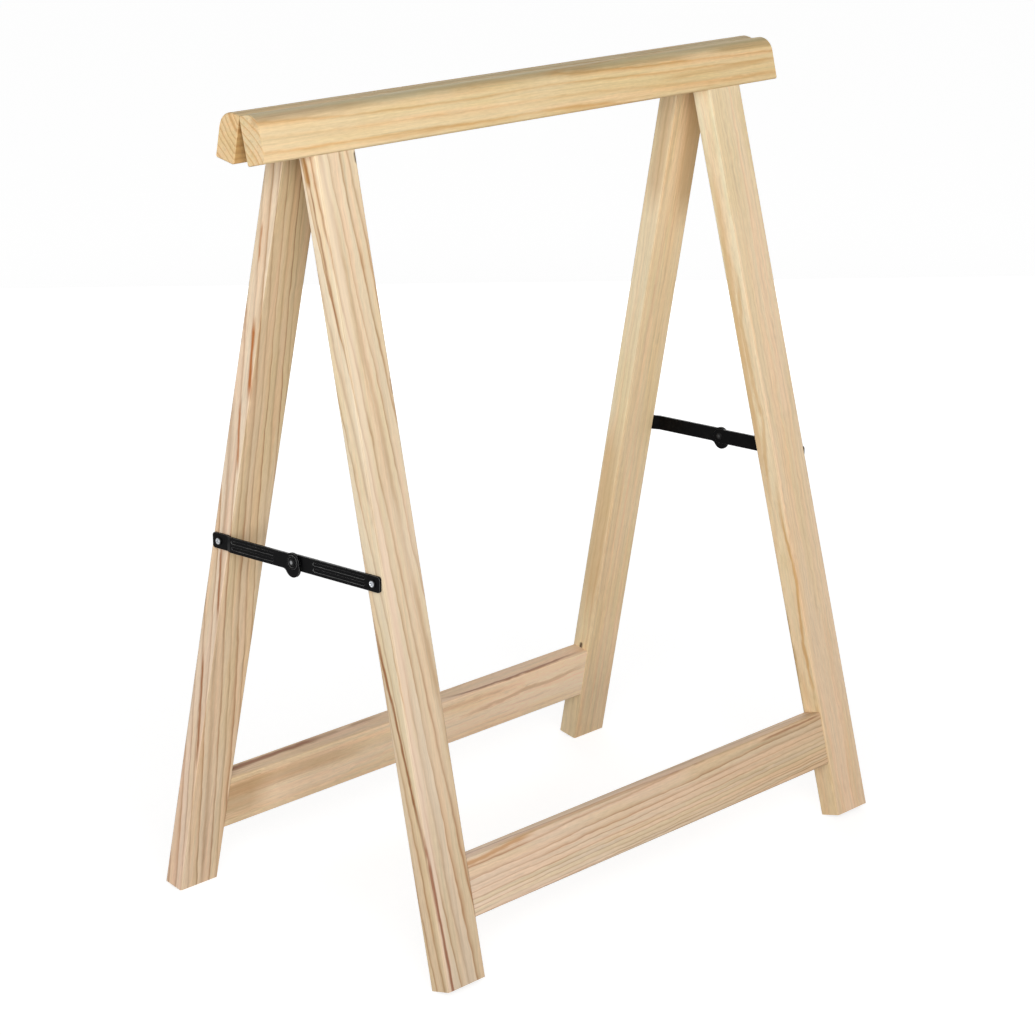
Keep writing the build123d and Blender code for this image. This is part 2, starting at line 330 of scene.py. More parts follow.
# %% A point in its board
class BoardPlace:
    """Sockets with a point's place in its board and log, and with its face's share of each direction."""

    def __init__(self, finish, name, turn):
        centre, axes = board_axes(name)
        half_length = np.abs((corner_points(name) - centre) @ axes[:, 2]).max()
        source = finish.node("TexCoord")
        normal = source.outputs["Normal"]
        upright = {"vector_type": "TEXTURE"}
        board_turn = Matrix(axes.tolist()).to_euler()
        log_turn = (0.0, 0.0, math.radians(turn))
        stood = finish.node("Mapping", source.outputs["Object"], centre.tolist(), board_turn, **upright)
        self.in_board = stood.outputs[0]
        self.in_log = finish.node("Mapping", self.in_board, None, log_turn, **upright).outputs[0]
        height = finish.node("SeparateXYZ", self.in_board).outputs["Z"]
        self.along = finish.share(height, -half_length, half_length)
        looks = [finish.measure("DOT_PRODUCT", normal, axis.tolist()) for axis in axes.T]
        self.outward = looks[1]
        self.across, self.through, self.endways = [finish.math("ABSOLUTE", look) for look in looks]
        self.upward = finish.node("SeparateXYZ", normal).outputs["Z"]


print("a leg is", round(np.ptp(corner_points("front_left_leg")[..., 2]), 3), "m high as it stands")

# %% [markdown]
# ## Growth rings
# Planed pine shows pale spring wood that darkens slowly into a thin brown line of summer wood and then
# starts pale again. A stripe texture would not turn the corner. A solid pattern does: the distance from the
# log's middle, divided by the ring width, counts the years at every point. No tree grows straight, so every
# place is first pushed sideways by waves of noise, listed as bumps to a metre across and along the grain
# and a swing in millimetres.

# %% Years at a point of a board
millimetre = 0.001
grain_waves = [(14, 2.6, 12.0), (50, 12, 3.0), (120, 55, 1.8)]
seed_step = np.array([1.0, 0.37, 0.71])
uneven_scale = 0.7
uneven_swing = 1.1


def seeded(finish, place, seed):
    """A place moved by a board's own seed, so that no two boards share their noise."""
    return finish.vector("ADD", place, (seed * seed_step).tolist())


def wavy(finish, place, seed, wave, waves):
    """A place shifted across the grain by a sum of noises, each less a half and times its swing."""
    start = seeded(finish, place, seed)
    shift = 0.0
    for across, along, swing in waves:
        bend = finish.math("SUBTRACT", finish.noise(start, across, along, detail=1.0), 0.5)
        shift = finish.times(bend, wave * swing * millimetre, shift)
    return finish.vector("ADD", place, finish.node("CombineXYZ", shift, shift).outputs[0])


def years_grown(finish, place, pith, ring, drift, slowing):
    """Years from the log's middle to a place.

    The distance from the middle is the root of the sum of two squares: the offset across the rings plus the
    pith distance and a drift along the board, and the offset along the rings. Divided by the ring width it
    counts years. A square term adds more of them further out, where an old tree grows slowly, and a slow
    noise makes some rings wide and others narrow."""
    parts = finish.node("SeparateXYZ", place).outputs
    outward = finish.times(parts["Z"], drift, finish.math("ADD", parts["X"], pith))
    sideways = finish.times(parts["Y"], parts["Y"])
    radius = finish.math("SQRT", finish.times(outward, outward, sideways))
    beyond = finish.math("SUBTRACT", radius, pith)
    years = finish.times(finish.times(beyond, beyond), slowing, finish.math("DIVIDE", radius, ring))
    uneven = finish.node("TexNoise", None, years, uneven_scale, 1.0, 0.5, noise_dimensions="1D")
    return finish.times(uneven.outputs[0], uneven_swing, years)


print("waves in the grain:", len(grain_waves), "with a swing of up to", grain_waves[0][2], "mm")

# %% [markdown]
# ## Pitch streaks and knots
# A few boards carry marks of their own: a brown pitch streak along a corner, a pin knot, a wavy line of
# resin. They could be painted, but each is simple geometry in the wood: everything within a radius of a
# straight or bent line that runs about along the grain, so it shows on every face that it comes near. The
# same streaks also lay painted shade under a rail, in a joint and beside a leg, and a painted highlight along
# a lit corner.

# %% A streak in the wood
streak_core = 0.2
streak_ends = [(0.0, 0.0), (0.2, 1.0), (0.8, 1.0), (1.0, 0.0)]
fading_length = 20 * millimetre
ragged_least = 0.4
ragged_swing = 1.2
out_of_reach = 1.0


def streak_share(finish, place, ragged, path, radius):
    """Share of a streak's colour at a place, 1 on a bent line through points of the board and 0 beyond a
    radius. The colour is pitch and sap on most boards, and painted shade and highlight on a few.

    On each straight piece, the height between its ends picks the nearest point. The smallest distance from
    such a point, made ragged by noise, over the radius gives the share, and a long streak fades out towards
    both ends. Path and radius are in millimetres."""
    points = (millimetre * np.array(path)).tolist()
    rise = finish.node("SeparateXYZ", place).outputs["Z"]
    gap = out_of_reach
    for first, last in zip(points[:-1], points[1:]):
        nearest = finish.mix(finish.share(rise, first[2], last[2]), first, last, kind="VECTOR")
        gap = finish.math("MINIMUM", gap, finish.measure("DISTANCE", place, nearest))
    gap = finish.times(gap, finish.times(ragged, ragged_swing, ragged_least))
    reach = millimetre * radius
    share = finish.spread(gap, streak_core * reach, reach, 1.0, 0.0)
    low, high = points[0][2], points[-1][2]
    if abs(high - low) > fading_length:
        share = finish.times(share, finish.curve(finish.share(rise, low, high), streak_ends))
    return share


print("a streak fades over", streak_ends[1][0], "of its length at each end")

# %% [markdown]
# ## Fields of noise
# Wood varies at many sizes at once: fine fibres and pores, long flecks, bands as wide as a few rings,
# patches and clouds. Each is smooth noise drawn out along the grain, listed as bumps to a metre across and
# along it. Fibres have more detail and are rougher.

# %% Noise in the wood
wood_noise = {
    "fibre": (850, 16, 3.0, 0.6),
    "pore": (750, 130),
    "fleck": (380, 6),
    "band": (130, 4),
    "patch": (60, 9),
    "cloud": (24, 3),
}
fleck_run = (0.48, 0.74)


def wood_fields(finish, place):
    """Noise of every size at a place. Flecks are kept only at the noise's peaks."""
    fields = {}
    for field, sizes in wood_noise.items():
        fields[field] = finish.noise(place, *sizes)
    fields["fleck"] = finish.spread(fields["fleck"], *fleck_run)
    return fields


print("noise in the wood:", ", ".join(wood_noise))

# %% [markdown]
# ## Summer wood
# Each year ends in a line of dark summer wood. A board cut across the rings shows it crisp, one cut along
# them soft and broad, and a cut end is always crisp. A ramp over the fraction of the year draws both, and a
# random number drawn from the year's count says how dry that year was, and so how dark its line is.

# %% Lines of summer wood
crisp_rings = [(0.0, 0.40), (0.07, 0.08), (0.14, 0.0), (0.40, 0.04), (0.64, 0.16), (0.82, 0.60),
               (0.92, 1.0), (1.0, 0.40)]
soft_rings = [(0.0, 0.15), (0.22, 0.0), (0.55, 0.45), (0.78, 1.0), (1.0, 0.15)]
years_apart = 17.0
least_dry = 0.50
dry_swing = 0.55
patch_run = (0.36, 0.62, 0.70, 1.15)
end_dryness = 0.65


def summer_wood(finish, years, seed, soft, strength, patch, cut_end):
    """Share of summer wood at a number of years, and the random colour of that year.

    The profile at the fraction of the year, times the dryness of the year, times a patchy strength."""
    part_of_year = finish.math("FRACT", years)
    crisp = finish.curve(part_of_year, crisp_rings)
    softness = finish.times(cut_end, -soft, soft)
    line = finish.mix(softness, crisp, finish.curve(part_of_year, soft_rings), kind="FLOAT")
    count = finish.math("ADD", finish.math("FLOOR", years), years_apart * seed)
    year = finish.node("TexWhiteNoise", None, count, noise_dimensions="1D").outputs
    dry = finish.times(year["Value"], dry_swing * strength, least_dry * strength)
    dry = finish.times(dry, finish.spread(patch, *patch_run))
    dry = finish.mix(cut_end, dry, end_dryness, kind="FLOAT")
    return finish.times(line, dry), year["Color"]


print("a year of pine has", len(crisp_rings), "crisp stops or", len(soft_rings), "soft ones")

# %% [markdown]
# ## Colour of the wood
# Between a colour for spring wood and one for summer wood, hues wander from pink over olive to cream,
# partly with the year and partly with the noise, and the finer fields lighten and darken the whole.

# %% Hues and light
year_hue = 0.35
hue_run = np.array([0.38, 0.73])
hues = {
    "Red": (tint(1.03, 0.95, 0.93), "band"),
    "Green": (tint(0.98, 0.975, 0.90), "patch"),
    "Blue": (tint(1.015, 1.025, 1.05), "cloud"),
}
light_runs = {"fibre": (0.30, 0.86), "band": (0.16, 0.93), "fleck": (-0.10, 1.02), "pore": (0.22, 0.89)}


def wood_colour(finish, summer, year_colour, fields, early, late, soft):
    """Early to late colour by the share of summer wood, times three hues and a light from each field."""
    own_hue = year_hue * (1.0 - soft)
    low, high = (hue_run + own_hue / 2).tolist()
    random = finish.node("SeparateColor", year_colour).outputs
    colour = finish.mix(summer, early, late)
    for part, (hue, field) in hues.items():
        share = finish.times(random[part], own_hue, fields[field])
        colour = finish.stain(finish.spread(share, low, high), colour, hue)
    for field, (swing, base) in light_runs.items():
        light = finish.times(fields[field], swing, base)
        colour = finish.stain(1.0, colour, light)
    return colour


print("hues:", len(hues), "fields that change the light:", len(light_runs))

# %% [markdown]
# ## Tints of ends, sides and edges
# A board is rarely one tone all over, and most tints here are painted light and shade. The end tints paint a
# leg darker towards its foot or under the rail and shift the hue a little along a board, and the side tints
# lighten or darken narrow faces as the lamps fall on them. A painted shade dims rounded edges, where the
# lamps put a highlight, a painted cool shade greys what faces up, and a painted brown shade darkens the
# rails' inner faces in their narrow gap. Each is a tint that multiplies the colour where the place or the
# normal says so.

# %% Tints by place and direction
# The runs below mark narrow sides, and where painted shade falls on rounded edges, upward faces and the gap
# face.
side_run = (0.60, 0.95)
flat_run = (0.74, 0.97)
crown_run = (0.45, 0.95)
gap_shade_run = (-0.98, -0.80)
# Painted shade that dims the highlight the lamps put on rounded edges.
painted_edge_shade = tint(0.84, 0.82, 0.78)
# Painted brown shade for the rails' inner faces in their narrow gap.
painted_gap_shade = tint(0.70, 0.60, 0.44)


def tinted(finish, colour, place, ends, edges, crown, gap):
    """A colour times the tints of a board.

    The ends tint the foot and head of a leg or the left and right of a rail, the edges do the same to narrow
    sides only, and both are mostly painted light and shade. The crown is a painted cool shade on what faces
    up, and gap is how much painted brown shade darkens the face towards the other panel. An edge gets a
    painted shade, which dims the lamps' highlight on its rounding, where the normal lies along none of the
    axes."""
    colour = finish.stain(1.0, colour, finish.mix(place.along, *ends))
    narrow = finish.spread(place.across, *side_run)
    colour = finish.stain(narrow, colour, finish.mix(place.along, *edges))
    flatness = finish.math("MAXIMUM", finish.math("MAXIMUM", place.across, place.through), place.endways)
    colour = finish.stain(finish.spread(flatness, *flat_run, 1.0, 0.0), colour, painted_edge_shade)
    colour = finish.stain(finish.spread(place.upward, *crown_run), colour, crown)
    return finish.stain(finish.spread(place.outward, *gap_shade_run, gap, 0.0), colour, painted_gap_shade)


# The edge tint printed here is a painted shade on rounded edges.
print("a worn edge keeps", painted_edge_shade[:3], "of its colour")

# %% [markdown]
# ## Pine
# With all parts in hand, a board is put together: bent places, noise, years, summer lines, colour, streaks
# and tints. A plane leaves hard summer wood smoother and a little proud, and a saw leaves the ends dull, so
# the same fields drive gloss and relief.

# %% Pine finish
cut_run = (0.75, 0.95)
planed_roughness = 0.66
summer_polish = -0.12
fibre_roughness = 0.10
end_roughness = 0.12
planed_gloss = 0.35
fibre_height = 0.6
summer_height = 0.5
relief_strength = 0.35
relief_depth = 0.12 * millimetre


def planed(finish, summer, fibre, cut_end):
    """Roughness and relief: sums of summer wood, fibre and cut end, each times its own weight."""
    rough = finish.times(summer, summer_polish, planed_roughness)
    rough = finish.times(fibre, fibre_roughness, rough)
    finish.shade("Roughness", finish.times(cut_end, end_roughness, rough))
    finish.shade("Specular IOR Level", planed_gloss)
    relief = finish.times(fibre, fibre_height, finish.times(summer, summer_height))
    finish.emboss(relief, relief_strength, relief_depth)


def pine(name, turn, pith, ring, drift, strength, seed, early, late, soft=0.0, wave=1.0, slowing=0.0,
         streaks=(), ends=(white, white), edges=(white, white), crown=white, gap=0.0):
    """Planed pine for one board, cut from a log whose middle runs beside it, with the board's own streaks."""
    finish = Finish(name + "_pine")
    place = BoardPlace(finish, name, turn)
    bent = wavy(finish, place.in_log, seed, wave, grain_waves)
    rippled = wavy(finish, place.in_board, seed, wave, grain_waves[1:])
    fields = wood_fields(finish, seeded(finish, bent, seed))
    fibre = fields["fibre"]
    cut_end = finish.spread(place.endways, *cut_run)
    years = years_grown(finish, bent, pith, ring, drift, slowing)
    summer, year_colour = summer_wood(finish, years, seed, soft, strength, fields["patch"], cut_end)
    colour = wood_colour(finish, summer, year_colour, fields, early, late, soft)
    # A streak's colour is pitch and sap, and on a few boards painted shade and highlight.
    for path, radius, share, pitch in streaks:
        stain = finish.times(streak_share(finish, rippled, fibre, path, radius), share)
        colour = finish.mix(stain, colour, pitch)
    finish.shade("Base Color", tinted(finish, colour, place, ends, edges, crown, gap))
    planed(finish, summer, fibre, cut_end)
    finish.dress(name)
    print(name, "has", len(finish.tree.nodes), "nodes and", len(streaks), "streaks")


print("planed pine has a roughness of about", planed_roughness)

# %% [markdown]
# ## Eight boards
# No two boards come from the same place in a tree. Each gets its own cut: the turn of the rings from its
# width, the distance to the log's middle, the ring width, a drift that lets the lines run off the board,
# how strong and how soft they are, and two colours. A streak is a path of points in millimetres from the
# board's centre, across, through and along it, with a radius, a share and one of a few common colours.

# %% Pitch, sap, painted shade and highlight
pitch_brown = seen(150, 96, 56)
pitch_red = seen(152, 96, 64)
pitch_orange = seen(172, 104, 54)
pitch_gold = seen(172, 124, 60)
# Honey brown is wood colour, and on the far back leg's narrow side a painted shade under the rail.
honey_brown_and_shade = seen(186, 134, 84)
honey_resin = seen(210, 160, 96)
# Olive brown is wood colour, and a broad painted shadow under the rail on the far back leg and over the back
# stretcher's left end.
olive_brown_and_shade = seen(166, 130, 78)
# Dark for a real knot, and a painted shade in the joint where the near front leg meets the rail.
knot_and_gap_shade = seen(66, 45, 29)
# Pale sapwood tones, which along the near front leg's corner are partly a painted highlight.
sap_cream_and_highlight = seen(250, 228, 206)
sap_pink_and_highlight = seen(252, 222, 198)
print("dark knots are", [round(part, 3) for part in knot_and_gap_shade[:3]])

# %% [markdown]
# ## Two rails
# The rails are honey yellow with soft lines and bands of resin. A painted cool shade greys their crown, and a
# painted brown shade darkens their inner faces in the gap.

# %% Pine of the rails
# Painted shade: a cool grey tint on the upward faces of the rails.
rail_top_shade = tint(0.86, 0.96, 1.05)
front_rail_streaks = [
    ([(-17, 11.3, -225), (-16, 11.3, -60)], 3.6, 0.5, honey_resin),
    ([(-16, 11.3, 0), (-19, 11.3, 180)], 3.6, 0.5, honey_resin),
    ([(-19, 11.3, 150), (-14, 11.3, 345)], 3, 0.7, honey_resin),
    ([(-5, 11.3, 160), (-3, 11.3, 345)], 4, 0.4, honey_resin),
    ([(14, 9.2, -400), (14, 9.2, -190)], 6.5, 0.4, honey_brown_and_shade),
    ([(15, 8.4, 30), (12, 10, 230)], 5, 0.45, olive_brown_and_shade),
    ([(13, 9.6, 240), (12, 10, 400)], 5, 0.45, olive_brown_and_shade),
]
# Both rails: gap=1.0 lays the painted brown shade on the inner face. The front rail's end tints make its left
# end a little darker and greyer.
pine("front_top_rail", turn=62, pith=0.090, ring=0.0056, drift=0.010, strength=0.65, seed=1.3, soft=1.0,
     wave=0.6, early=seen(236, 211, 165), late=seen(206, 152, 80), gap=1.0, crown=rail_top_shade,
     ends=(tint(0.94, 0.95, 0.98), tint(0.99, 0.97, 0.92)), streaks=front_rail_streaks)
pine("back_top_rail", turn=27, pith=0.080, ring=0.0056, drift=0.010, strength=0.75, seed=2.9, soft=0.6,
     early=seen(232, 203, 156), late=seen(186, 134, 76), gap=1.0, crown=rail_top_shade)

# %% [markdown]
# ## Two left legs
# These stand nearest to the camera. Their lines are crisp and wide apart and run off the grain, so they leave
# the board at its sides. Both have dark pitch lines. The front one has a pale strip along its corner, partly
# sapwood and partly a painted highlight, and a spot of painted shade where its top meets the rail. Their end
# and side tints are painted shade and light: the front leg darker towards its foot, the back one darker under
# the rail, and both narrow sides lighter near the top.

# %% Pine of the left legs
front_left_streaks = [
    # This streak and the third: pale bands along the lit corner, partly sapwood and partly a painted
    # highlight.
    ([(18, 11, 420), (17, 11, 60)], 9, 0.5, sap_cream_and_highlight),
    ([(0, 11, 150), (0, 11, -260)], 30, 0.16, sap_cream_and_highlight),
    ([(17, 11, 130), (19.5, 11, -300), (18.5, 11, -420)], 6.5, 0.55, sap_pink_and_highlight),
    ([(23, -4.5, 366), (23, -3, 334)], 4.2, 0.9, pitch_gold),
    ([(23, -6, 400), (23, 6, 190)], 2, 0.75, pitch_brown),
    ([(23, -10, -26), (23, 8.5, -237)], 2.5, 0.95, pitch_brown),
    ([(23, 8, -195), (21.5, 11, -255), (15, 11, -400)], 2.5, 0.9, pitch_red),
    ([(-22.5, 11, 165), (-22.5, 11, 155)], 3.5, 0.7, pitch_brown),
    # Painted shade: a dark spot in the joint where the leg's top meets the rail.
    ([(-21.4, 11, 358), (-21.4, 11, 353)], 4, 0.9, knot_and_gap_shade),
]
back_left_streaks = [
    ([(-23, -2.5, 215), (-23, -9.5, 135)], 3.2, 1, pitch_orange),
    ([(-23, 4, 300), (-23, 2.5, 260)], 1.8, 0.7, pitch_orange),
    ([(-23, 1.2, 135), (-23, -8, 65)], 2, 0.8, pitch_orange),
    ([(-23, 0, 0), (-23, -9, -80)], 2.2, 0.9, pitch_brown),
    ([(-23, 3.5, -105), (-23, -9.2, -235)], 2.2, 0.9, pitch_brown),
]
# End tints: painted shade, darker towards the foot. Side tints: painted light, narrow side lighter near the
# top.
pine("front_left_leg", turn=-50, pith=0.095, ring=0.0072, drift=-0.055, strength=0.85, seed=4.1,
     early=seen(225, 204, 174), late=seen(162, 112, 64), streaks=front_left_streaks,
     ends=(tint(0.81, 0.80, 0.81), tint(1.02, 1.03, 0.99)),
     edges=(tint(1.02, 1.05, 0.97), tint(1.18, 1.22, 1.32)))
# End tints: painted shadow, darker under the rail. Side tints: painted light, narrow side lighter near the
# top.
pine("back_left_leg", turn=-34, pith=0.085, ring=0.0062, drift=0.066, strength=0.80, seed=5.7,
     early=seen(221, 198, 168), late=seen(150, 102, 60), streaks=back_left_streaks,
     ends=(tint(1.07, 1.06, 1.05), tint(0.80, 0.79, 0.70)),
     edges=(tint(1.03, 1.00, 1.05), tint(1.44, 1.54, 1.80)))

# %% [markdown]
# ## Two right legs
# The legs at the far end are paler and nearly without lines. The front one has wavy resin on its narrow side,
# drawn by paths with many bends, and its end tints paint it darker towards the foot. The back one carries a
# broad painted shadow under the rail, on its wide face and at the top of its narrow side.

# %% Pine of the right legs
front_right_streaks = [
    ([(23, -6, 330), (23, -5, 200), (23, -6, 150), (23, -8, -50)], 6.5, 0.5, honey_resin),
    ([(23, -3, 210), (23, 3, 180), (23, 2.5, 162), (23, -1.5, 130), (23, 0.5, 75), (23, 3, 37), (23, -1, 4),
      (23, -3, -25), (23, -8, -65)], 3.6, 0.5, honey_resin),
    ([(23, 7, -20), (23, 5, -54), (23, 6, -80), (23, 10, -125), (23, 6, -155), (23, 4, -185), (23, 7.5, -229),
      (23, 9, -270)], 2.8, 0.75, honey_resin),
    ([(23, -10.5, -130), (23, -10.5, -280)], 3, 0.6, olive_brown_and_shade),
]
back_right_streaks = [
    # Painted shadow under the rail: broad olive shade on the wide face, and honey shade at the top of the
    # narrow side.
    ([(0, -11, 420), (20, -11, 210)], 26, 0.55, olive_brown_and_shade),
    ([(-23, 0, 400), (-23, 0, 230)], 14, 0.4, honey_brown_and_shade),
    ([(-23, 2, 20), (-23, -2, -230)], 16, 0.45, honey_resin),
    ([(-23, 0.4, -251), (-23, 0.4, -255)], 2.8, 0.95, knot_and_gap_shade),
]
# End tints: painted shade, darker towards the foot.
pine("front_right_leg", turn=-15, pith=0.090, ring=0.0052, drift=0.008, strength=0.25, seed=6.3, soft=0.8,
     wave=2.0, early=seen(240, 218, 183), late=seen(200, 150, 96), streaks=front_right_streaks,
     ends=(tint(0.89, 0.82, 0.82), tint(1.02, 1.02, 1.0)),
     edges=(tint(0.93, 0.95, 0.87), tint(1.03, 1.13, 1.18)))
pine("back_right_leg", turn=58, pith=0.100, ring=0.0056, drift=-0.007, strength=0.20, seed=7.9, soft=0.8,
     early=seen(240, 217, 179), late=seen(182, 130, 82), streaks=back_right_streaks,
     ends=(tint(0.94, 0.91, 0.90), tint(0.99, 0.99, 0.96)),
     edges=(tint(0.98, 1.02, 1.02), tint(0.99, 1.07, 1.15)))

# %% [markdown]
# ## Two stretchers
# The front stretcher was sawn far out in an old tree, where slowing growth narrows the rings towards one
# edge, and its end tint makes it browner at the right end, partly painted shade beside the leg. The back one
# is soft-lined, with red pitch on its top, a brown band at its left end and a broad painted shade over that
# end beside the leg. Its pale spring colour is partly painted light, raised against the shade it stands in.

# %% Pine of the stretchers
front_stretcher_streaks = [
    ([(21.5, 10, 150), (24.4, 10, 260)], 1.8, 0.7, pitch_brown),
    ([(20.5, 10, -275), (24.5, 10, -160)], 3.4, 0.75, honey_brown_and_shade),
    ([(26.5, 7, -240), (26.5, 6, 20)], 4.5, 0.5, honey_resin),
]
back_stretcher_streaks = [
    # Painted shade: broad dark brown over the left end, beside the leg.
    ([(0, -10, -350), (0, -10, -190)], 34, 0.5, olive_brown_and_shade),
    ([(-14, -10, -340), (-10, -10, -60)], 13, 0.4, honey_brown_and_shade),
    ([(-1, -10, 60), (-3, -10, 125), (-8, -10, 160), (-6, -10, 195), (-12, -10, 265)],
     3.6, 0.45, honey_brown_and_shade),
    ([(-17, -10, -20), (-17, -10, 150)], 4, 0.25, honey_brown_and_shade),
    ([(-26.5, 4, -330), (-26.5, 4.5, -95)], 5, 0.85, pitch_red),
    ([(-26.5, 4.5, -120), (-26.5, 6, -40)], 3, 0.45, pitch_red),
    ([(-26.5, -2, 30), (-26.5, -6.5, 75), (-26.5, -8.5, 130), (-26.5, -6, 245)], 2.6, 0.75, pitch_red),
]
# End tint: browner at the right end, partly painted shade beside the leg.
pine("front_stretcher", turn=216, pith=0.110, ring=0.0038, drift=0.024, strength=0.70, seed=8.3, slowing=3200,
     early=seen(219, 197, 169), late=seen(156, 102, 62), streaks=front_stretcher_streaks,
     ends=(tint(1.0, 1.02, 1.06), tint(0.98, 0.93, 0.83)),
     edges=(tint(1.04, 1.04, 1.08), tint(0.93, 0.92, 0.92)))
# Painted light: the pale spring colour is raised against the shade this board stands in, and the end tint
# paints the left end darker.
pine("back_stretcher", turn=66, pith=0.060, ring=0.0060, drift=0.004, strength=0.15, seed=9.1, soft=0.9,
     wave=1.6, early=seen(250, 225, 193), late=seen(170, 118, 76), streaks=back_stretcher_streaks,
     ends=(tint(0.90, 0.88, 0.83), tint(1.05, 1.04, 1.04)),
     edges=(tint(0.82, 0.81, 0.83), tint(0.79, 0.77, 0.79)))

# %% [markdown]
# ## Beech dowels
# The boards are held by glued dowels that nobody sees until a joint opens. Beech is pinker than pine and
# full of short dark flecks, which come from noise stretched along the dowel and cut off at a threshold.

# %% Beech finish
beech_pale = seen(222, 180, 140)
beech_pink = seen(205, 160, 120)
beech_dark = seen(150, 100, 66)
beech_fleck_run = (0.58, 0.68)
beech_roughness = 0.5
beech_dullness = 0.2
rail_way = (1.0, 0.0, 0.0)


def beech(name, along):
    """Beech with short flecks: noise stretched along the dowel's axis, kept only at its peaks."""
    finish = Finish(name + "_beech")
    source = finish.node("TexCoord").outputs["Object"]
    turn = Vector(along).to_track_quat("Z", "Y").to_euler()
    place = finish.node("Mapping", source, None, turn, vector_type="TEXTURE").outputs[0]
    fleck = finish.spread(finish.noise(place, 1400, 220, detail=1.0), *beech_fleck_run)
    tone = finish.noise(place, 300, 30)
    finish.shade("Base Color", finish.mix(fleck, finish.mix(tone, beech_pale, beech_pink), beech_dark))
    finish.shade("Roughness", finish.times(tone, beech_dullness, beech_roughness))
    finish.dress(name)


for panel in ("front", "back"):
    leg_grain = board_axes(panel + "_left_leg")[1][:, 2]
    beech(panel + "_leg_dowels", leg_grain.tolist())
    beech(panel + "_stretcher_dowels", rail_way)
    print("leg dowels of the", panel, "panel run along", leg_grain.round(3))

# %% [markdown]
# ## Black stays
# The folding links are pressed from steel strip and baked black. Pure black would swallow the grooves, so
# the coat is a very dark grey, its gloss is broken up by fine noise, and a faint orange-peel bump catches
# the lamps.

# %% Black coat
rubbed_run = (0.45, 0.75)
coat_roughness = 0.26
coat_dullness = 0.25
peel_strength = 0.25
peel_depth = 0.03 * millimetre


def black_coat(name, colour, rubbed, gloss):
    """Baked coat: dark grey, cloudy gloss and a fine orange-peel bump."""
    finish = Finish(name)
    place = finish.node("TexCoord").outputs["Object"]
    cloud = finish.noise(place, 140, 140, detail=3.0)
    grit = finish.noise(place, 2600, 2600)
    finish.shade("Base Color", finish.mix(finish.spread(cloud, *rubbed_run), colour, rubbed))
    finish.shade("Roughness", finish.times(cloud, coat_dullness, coat_roughness))
    finish.shade("Specular IOR Level", gloss)
    finish.emboss(grit, peel_strength, peel_depth)
    return finish


link_coat = black_coat("link_black_coat", seen(5, 5, 6), rubbed=seen(14, 14, 14), gloss=0.05)
# Lighter, glossier grey for the beveled rounds: partly rubbed coat, partly a painted highlight.
edge_wear_and_highlight_coat = black_coat("link_edge_wear_and_highlight", seen(84, 84, 84), rubbed=seen(124, 124, 122), gloss=0.5)
print("coats:", link_coat.material.name, "and", edge_wear_and_highlight_coat.material.name)

# %% [markdown]
# ## Links with pressed edges
# A punch leaves no knife edges: the rims of the band, its grooves and the ring round the rivet are slightly
# round, and there the coat rubs thin. Drawing that by hand would take thousands of faces. Instead each link
# is a copy of its CAD shape, joined into whole faces, and a Bevel rounds every sharp edge and gives the
# rounds a lighter grey coat. It shows as fine grey lines, partly the rubbed coat and partly a painted
# highlight of the light the rounds catch.

# %% Links
merge_distance = 0.001 * millimetre
flat_angle = math.radians(0.5)
sharp_angle = math.radians(45)
edge_width = 0.3 * millimetre


def pressed_copy(node_name, piece_name):
    """Copy of a CAD node with its corners merged and flat neighbours joined, and its sharp edges beveled."""
    shape = bmesh.new()
    shape.from_mesh(nodes[node_name].data)
    bmesh.ops.remove_doubles(shape, verts=shape.verts, dist=merge_distance)
    bmesh.ops.dissolve_limit(shape, angle_limit=flat_angle, verts=shape.verts, edges=shape.edges)
    mesh = bpy.data.meshes.new(piece_name)
    shape.to_mesh(mesh)
    shape.free()
    mesh.shade_smooth()
    mesh.materials.append(link_coat.material)
    mesh.materials.append(edge_wear_and_highlight_coat.material)
    piece = linked(piece_name, mesh)
    bevel = piece.modifiers.new("pressed_edges", "BEVEL")
    bevel.width = edge_width
    bevel.segments = 2
    bevel.limit_method = "ANGLE"
    bevel.angle_limit = sharp_angle
    # The rounds take the lighter coat, partly a painted highlight.
    bevel.material = 1
    shading = piece.modifiers.new("even_shading", "WEIGHTED_NORMAL")
    shading.keep_sharp = True
    return piece


def belongs(piece, body, node_name):
    """Let a piece ride on a body and stand for a CAD node, which is hidden."""
    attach(piece, body)
    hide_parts(node_name)


for end in ("left", "right"):
    for panel in ("back", "front"):
        node_name = f"{end}_stay_{panel}_link"
        link = pressed_copy(node_name, f"{end}_pressed_{panel}_link")
        belongs(link, f"{end}_{panel}_link", node_name)
print("last link has", len(link.data.polygons), "faces before its bevel")

# %% [markdown]
# ## Zinc-plated steel
# Hinges and screws are bright zinc over steel. The plating shows fine brushing along the hinge and a cloudy
# dullness, so its roughness follows noise that is stretched along the rail.

# %% Zinc finish
dull_zinc = seen(176, 178, 180)
zinc_roughness = 0.20
brush_dullness = 0.22
brush_strength = 0.2
brush_depth = 0.02 * millimetre


def zinc(name, colour, stretch):
    """Metal whose roughness and bump follow noise stretched along the brushing."""
    finish = Finish(name)
    place = finish.node("TexCoord").outputs["Object"]
    brush = finish.noise(finish.vector("MULTIPLY", place, stretch), 1, 1, detail=3.0, roughness=0.6)
    cloud = finish.noise(place, 160, 160)
    finish.shade("Base Color", finish.mix(cloud, colour, dull_zinc))
    finish.shade("Roughness", finish.times(brush, brush_dullness, zinc_roughness))
    finish.shade("Metallic", 1.0)
    finish.emboss(brush, brush_strength, brush_depth)
    return finish


